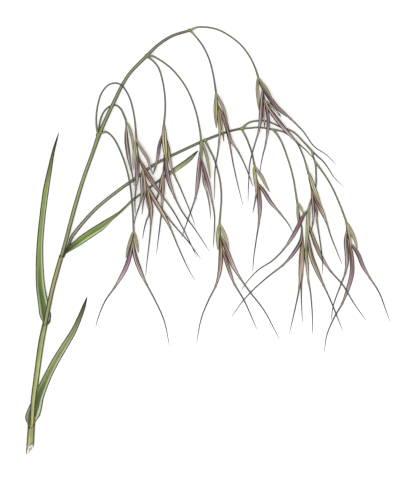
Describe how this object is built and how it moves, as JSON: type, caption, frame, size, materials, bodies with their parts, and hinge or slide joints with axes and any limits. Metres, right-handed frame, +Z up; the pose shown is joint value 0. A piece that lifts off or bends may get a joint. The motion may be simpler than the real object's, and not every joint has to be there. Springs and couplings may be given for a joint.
{
  "type": "cut ripgut brome flowering stem",
  "caption": "Cut, leafy flowering grass stem lying on its side, with an arching open panicle of drooping, long-awned purple and olive spikelets.",
  "frame": {"origin": "middle of the outline seen from above, on the surface that the stem lies on", "axes": "+Z up, +Y from the cut end towards the top of the panicle, +X towards the side that the spikelets droop to"},
  "size_m": [0.2549, 0.2995, 0.0216],
  "materials": {
    "stem": "satin, ribbed green to straw grass culm",
    "leaf": "matte, ribbed green leaf blade with pale margins",
    "glume": "matte, olive papery glume with dark edges",
    "floret": "matte, purple papery lemma with pale margins and grey-green awn"
  },
  "bodies": {
    "root": {"flowering_stem": "stem", "side_shoot": "stem", "leaf_blade_1": "leaf", "leaf_blade_2": "leaf", "leaf_blade_3": "leaf", "spikelet_01_glumes": "glume", "spikelet_01_florets": "floret", "spikelet_02_glumes": "glume", "spikelet_02_florets": "floret", "spikelet_03_glumes": "glume", "spikelet_03_florets": "floret", "spikelet_04_glumes": "glume", "spikelet_04_florets": "floret", "spikelet_05_glumes": "glume", "spikelet_05_florets": "floret", "spikelet_06_glumes": "glume", "spikelet_06_florets": "floret", "spikelet_07_glumes": "glume", "spikelet_07_florets": "floret", "spikelet_08_glumes": "glume", "spikelet_08_florets": "floret", "spikelet_09_glumes": "glume", "spikelet_09_florets": "floret", "spikelet_10_glumes": "glume", "spikelet_10_florets": "floret", "spikelet_11_glumes": "glume", "spikelet_11_florets": "floret", "spikelet_12_glumes": "glume", "spikelet_12_florets": "floret", "spikelet_13_glumes": "glume", "spikelet_13_florets": "floret"}
  },
  "joints": []
}
